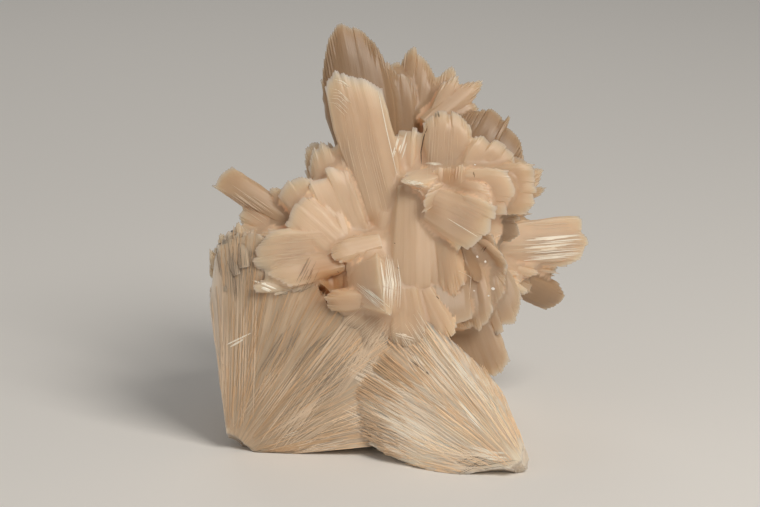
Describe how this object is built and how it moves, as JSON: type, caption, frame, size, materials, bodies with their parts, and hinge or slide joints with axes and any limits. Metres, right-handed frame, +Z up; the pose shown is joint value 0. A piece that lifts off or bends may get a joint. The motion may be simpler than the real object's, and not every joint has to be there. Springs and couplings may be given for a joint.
{
  "type": "hydroboracite specimen",
  "caption": "Free-standing mineral specimen: radiating fibrous sprays broken off flat underneath, with a rosette of bladed crystals grown through their tops.",
  "frame": {"origin": "centre of the bounding box in plan, at the flat broken underside that the specimen rests on", "axes": "+Z up; +Y points away from the display side, which is pictured from 15 degrees above the horizon along +Y; +X to the right as seen from the display side"},
  "size_m": [0.0398, 0.0308, 0.0421],
  "materials": {
    "hydroboracite": "translucent cream crystal, silky on the fibrous sprays and glassy on the blades"
  },
  "bodies": {
    "root": {"crystal_cluster": "hydroboracite"}
  },
  "joints": []
}
